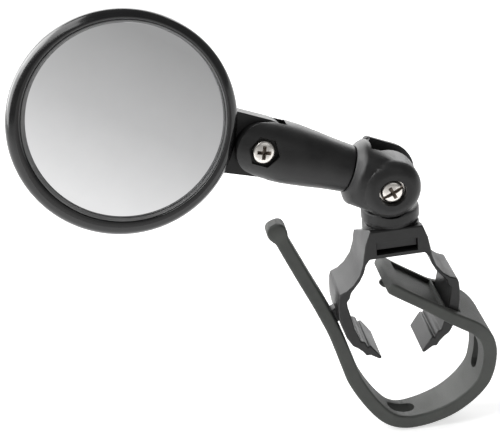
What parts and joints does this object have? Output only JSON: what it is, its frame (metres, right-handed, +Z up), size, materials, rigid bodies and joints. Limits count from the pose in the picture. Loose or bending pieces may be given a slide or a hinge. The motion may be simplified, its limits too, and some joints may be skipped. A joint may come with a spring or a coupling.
{
  "type": "bar-mounted round mirror",
  "caption": "Round convex mirror on a jointed arm, held on a handlebar by a sprung saddle and a rubber strap.",
  "frame": {"origin": "centre of the saddle bridge's flat underside, where it rests on top of the bar", "axes": "+Z up away from the bar, Y along the bar with the mirror facing -Y, +X to the viewer's right when looking at the mirror, so the mirror head is on the -X side"},
  "size_m": [0.1121, 0.0201, 0.1208],
  "materials": {
    "black_plastic": "semi-matte moulded nylon",
    "gloss_rim": "glossy black",
    "strap_rubber": "matt dark grey rubber",
    "seal_rubber": "matt black rubber",
    "gasket_grey": "satin dark grey",
    "foam": "matt grey foam",
    "mirror_glass": "convex, polished",
    "nickel_steel": "bright nickel plating",
    "spring_steel": "plain",
    "washer_nylon": "natural nylon"
  },
  "bodies": {
    "clamp": {"saddle": "black_plastic", "strap": "strap_rubber", "neck_clip": "spring_steel", "neck_washer": "seal_rubber"},
    "neck": {"neck_knuckle": "black_plastic"},
    "elbow": {"elbow_shell": "black_plastic", "elbow_hood": "black_plastic", "elbow_screw": "nickel_steel", "elbow_screw_washer": "nickel_steel", "elbow_nut": "nickel_steel", "elbow_washer_front": "washer_nylon", "elbow_washer_rear": "washer_nylon", "spigot_seal": "seal_rubber", "spigot_snap_ring": "spring_steel"},
    "arm": {"arm": "black_plastic", "hinge_screw": "nickel_steel", "hinge_nut": "nickel_steel", "hinge_washer_front": "spring_steel", "hinge_washer_rear": "spring_steel"},
    "mirror_head": {"housing": "black_plastic", "bezel": "gloss_rim", "glass_gasket": "gasket_grey", "mirror_glass": "mirror_glass", "backing_pad": "foam"}
  },
  "joints": [
    {"name": "neck_swivel", "type": "hinge", "parent": "clamp", "child": "neck", "pos_m": [0, 0, 0.008], "axis": [0, 0, 1], "range_deg": [-170, 170]},
    {"name": "elbow_tilt", "type": "hinge", "parent": "neck", "child": "elbow", "pos_m": [-0.00085, 0, 0.0181], "axis": [0, 1, 0], "range_deg": [-8, 36]},
    {"name": "arm_twist", "type": "hinge", "parent": "elbow", "child": "arm", "pos_m": [-0.00085, 0, 0.0181], "axis": [-0.9178, 0, 0.3971], "range_deg": [-120, 120]},
    {"name": "head_hinge", "type": "hinge", "parent": "arm", "child": "mirror_head", "pos_m": [-0.03049, 0, 0.03093], "axis": [0.0546, -0.9905, 0.1261], "range_deg": [-50, 50]}
  ]
}
